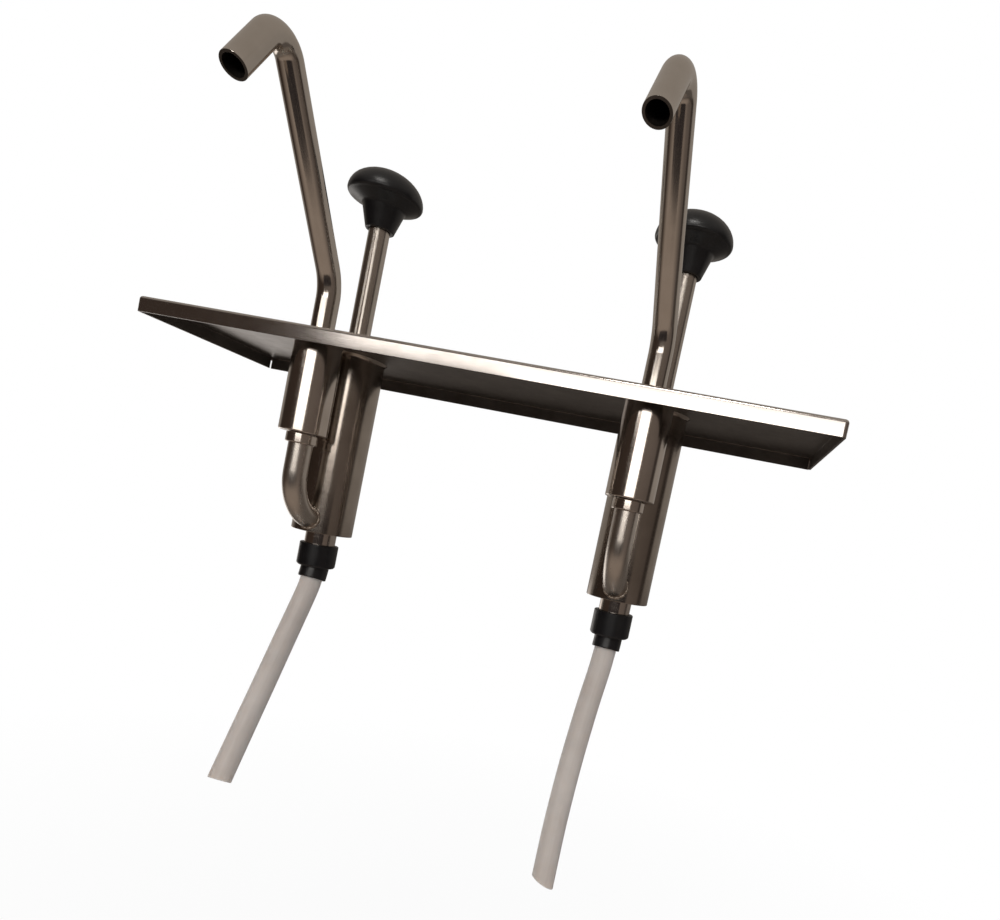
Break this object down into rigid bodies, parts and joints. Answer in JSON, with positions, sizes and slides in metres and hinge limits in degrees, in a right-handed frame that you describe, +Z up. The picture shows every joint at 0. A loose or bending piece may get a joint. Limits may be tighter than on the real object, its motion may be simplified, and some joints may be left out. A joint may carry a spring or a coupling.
{
  "type": "condiment pump dispenser",
  "caption": "Flanged steel pan lid with spring-return plunger pumps, black mushroom knobs, swivelling hooked spouts, ball check valves and free suction tubes for condiments.",
  "frame": {"origin": "middle of the lid's underside, where the lid sits on the rims of its pans", "axes": "+X along the lid, +Z up through the plungers, and the spouts reach forward towards -Y"},
  "size_m": [0.352, 0.1732, 0.3622],
  "materials": {
    "polished_steel": "polished stainless steel",
    "satin_steel": "satin stainless sheet",
    "spring_steel": "drawn stainless wire",
    "black_plastic": "satin black moulding",
    "black_rubber": "matt",
    "white_acetal": "turned plastic",
    "milky_tube": "milky translucent tube"
  },
  "bodies": {
    "lid": {"lid_plate": "satin_steel", "pump_cylinder_left": "polished_steel", "cylinder_base_left": "satin_steel", "inlet_nipple_left": "polished_steel", "inlet_ball_cage_left": "satin_steel", "rod_guide_left": "white_acetal", "rod_seal_left": "black_rubber", "return_spring_left": "spring_steel", "valve_housing_left": "polished_steel", "discharge_seat_left": "white_acetal", "discharge_spring_left": "spring_steel", "spout_bush_left": "white_acetal", "spout_seal_left": "black_rubber", "discharge_elbow_left": "polished_steel", "elbow_collar_left": "polished_steel", "suction_nut_left": "black_plastic", "suction_washer_left": "black_rubber", "suction_tube_left": "milky_tube", "pump_cylinder_right": "polished_steel", "cylinder_base_right": "satin_steel", "inlet_nipple_right": "polished_steel", "inlet_ball_cage_right": "satin_steel", "rod_guide_right": "white_acetal", "rod_seal_right": "black_rubber", "return_spring_right": "spring_steel", "valve_housing_right": "polished_steel", "discharge_seat_right": "white_acetal", "discharge_spring_right": "spring_steel", "spout_bush_right": "white_acetal", "spout_seal_right": "black_rubber", "discharge_elbow_right": "polished_steel", "elbow_collar_right": "polished_steel", "suction_nut_right": "black_plastic", "suction_washer_right": "black_rubber", "suction_tube_right": "milky_tube"},
    "plunger_left": {"plunger_rod_left": "polished_steel", "piston_left": "white_acetal", "piston_seal_upper_left": "black_rubber", "piston_seal_lower_left": "black_rubber", "piston_nut_left": "satin_steel", "knob_left": "black_plastic"},
    "inlet_ball_left": {"inlet_check_ball_left": "polished_steel"},
    "discharge_ball_left": {"discharge_check_ball_left": "polished_steel"},
    "spout_arm_left": {"spout_left": "polished_steel"},
    "plunger_right": {"plunger_rod_right": "polished_steel", "piston_right": "white_acetal", "piston_seal_upper_right": "black_rubber", "piston_seal_lower_right": "black_rubber", "piston_nut_right": "satin_steel", "knob_right": "black_plastic"},
    "inlet_ball_right": {"inlet_check_ball_right": "polished_steel"},
    "discharge_ball_right": {"discharge_check_ball_right": "polished_steel"},
    "spout_arm_right": {"spout_right": "polished_steel"}
  },
  "joints": [
    {"name": "plunger_slide_left", "type": "slide", "parent": "lid", "child": "plunger_left", "axis": [0, 0, 1], "range_m": [-0.046, 0], "stiffness_N_per_m": 300, "springref_m": 0.03, "deforming": ["return_spring_left"]},
    {"name": "spout_swivel_left", "type": "hinge", "parent": "lid", "child": "spout_arm_left", "pos_m": [-0.0875, -0.0313, 0], "axis": [0, 0, 1], "range_deg": [-45, 45]},
    {"name": "inlet_ball_lift_left", "type": "slide", "parent": "lid", "child": "inlet_ball_left", "axis": [0, 0, 1], "range_m": [0, 0.0035]},
    {"name": "discharge_ball_lift_left", "type": "slide", "parent": "lid", "child": "discharge_ball_left", "axis": [0, 0, 1], "range_m": [0, 0.003], "stiffness_N_per_m": 80, "springref_m": -0.003, "deforming": ["discharge_spring_left"]},
    {"name": "plunger_slide_right", "type": "slide", "parent": "lid", "child": "plunger_right", "axis": [0, 0, 1], "range_m": [-0.046, 0], "stiffness_N_per_m": 300, "springref_m": 0.03, "deforming": ["return_spring_right"]},
    {"name": "spout_swivel_right", "type": "hinge", "parent": "lid", "child": "spout_arm_right", "pos_m": [0.0875, -0.0313, 0], "axis": [0, 0, 1], "range_deg": [-45, 45]},
    {"name": "inlet_ball_lift_right", "type": "slide", "parent": "lid", "child": "inlet_ball_right", "axis": [0, 0, 1], "range_m": [0, 0.0035]},
    {"name": "discharge_ball_lift_right", "type": "slide", "parent": "lid", "child": "discharge_ball_right", "axis": [0, 0, 1], "range_m": [0, 0.003], "stiffness_N_per_m": 80, "springref_m": -0.003, "deforming": ["discharge_spring_right"]}
  ]
}
